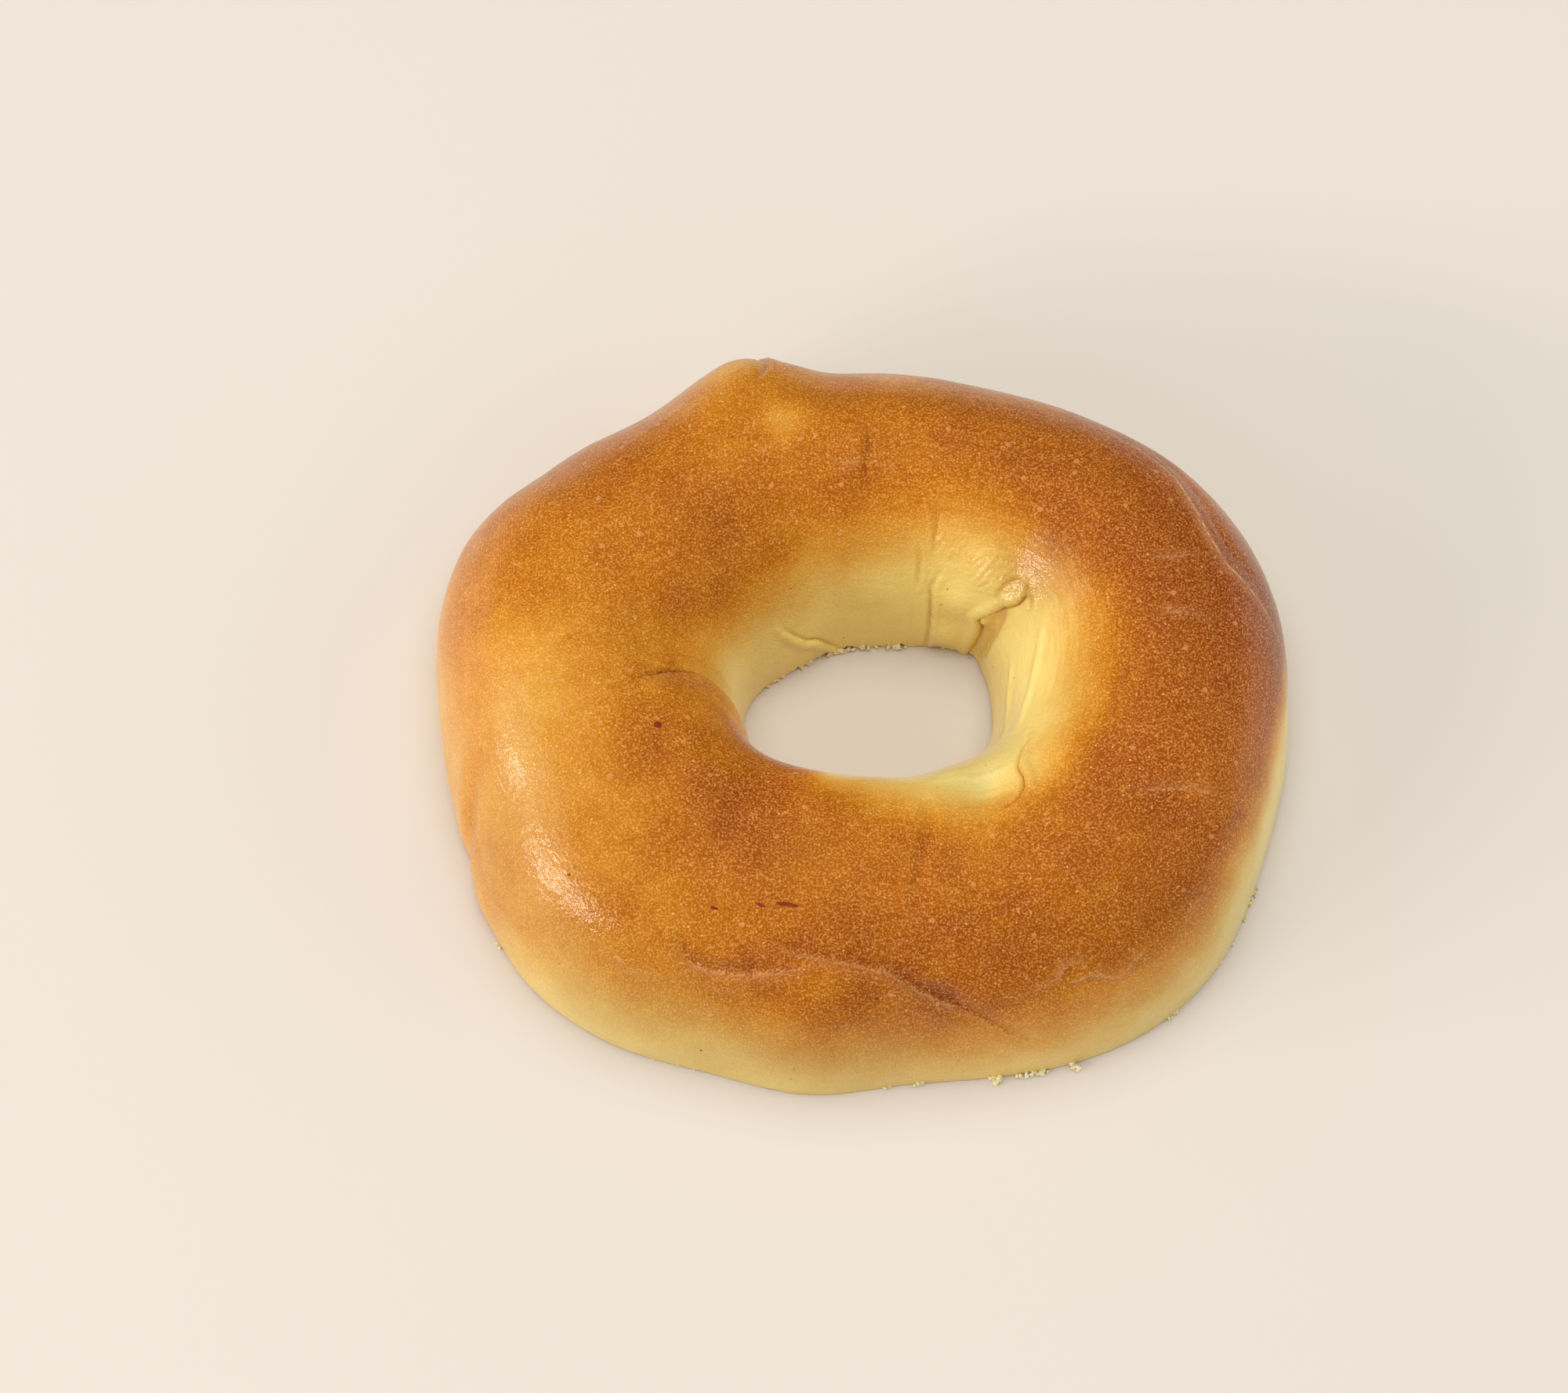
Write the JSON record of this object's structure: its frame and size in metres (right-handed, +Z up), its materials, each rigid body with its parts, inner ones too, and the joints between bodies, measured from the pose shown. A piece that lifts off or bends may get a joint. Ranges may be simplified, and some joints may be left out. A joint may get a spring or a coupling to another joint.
{
  "type": "challah bagel half",
  "caption": "Upper half of a ring-shaped challah roll, sliced level, with a folded hole, a brown crust and a yellow crumb.",
  "frame": {"origin": "centre of the bounding box at its lowest face, which is the cut face the half lies on", "axes": "+X along the roll's longer side, +Y across it, away from the steep side of the hole, +Z up from the cut face to the crust"},
  "size_m": [0.119, 0.1062, 0.0283],
  "materials": {
    "crust": "satin",
    "crumb": "matte"
  },
  "bodies": {
    "root": {"challah_half": "crust"}
  },
  "joints": []
}
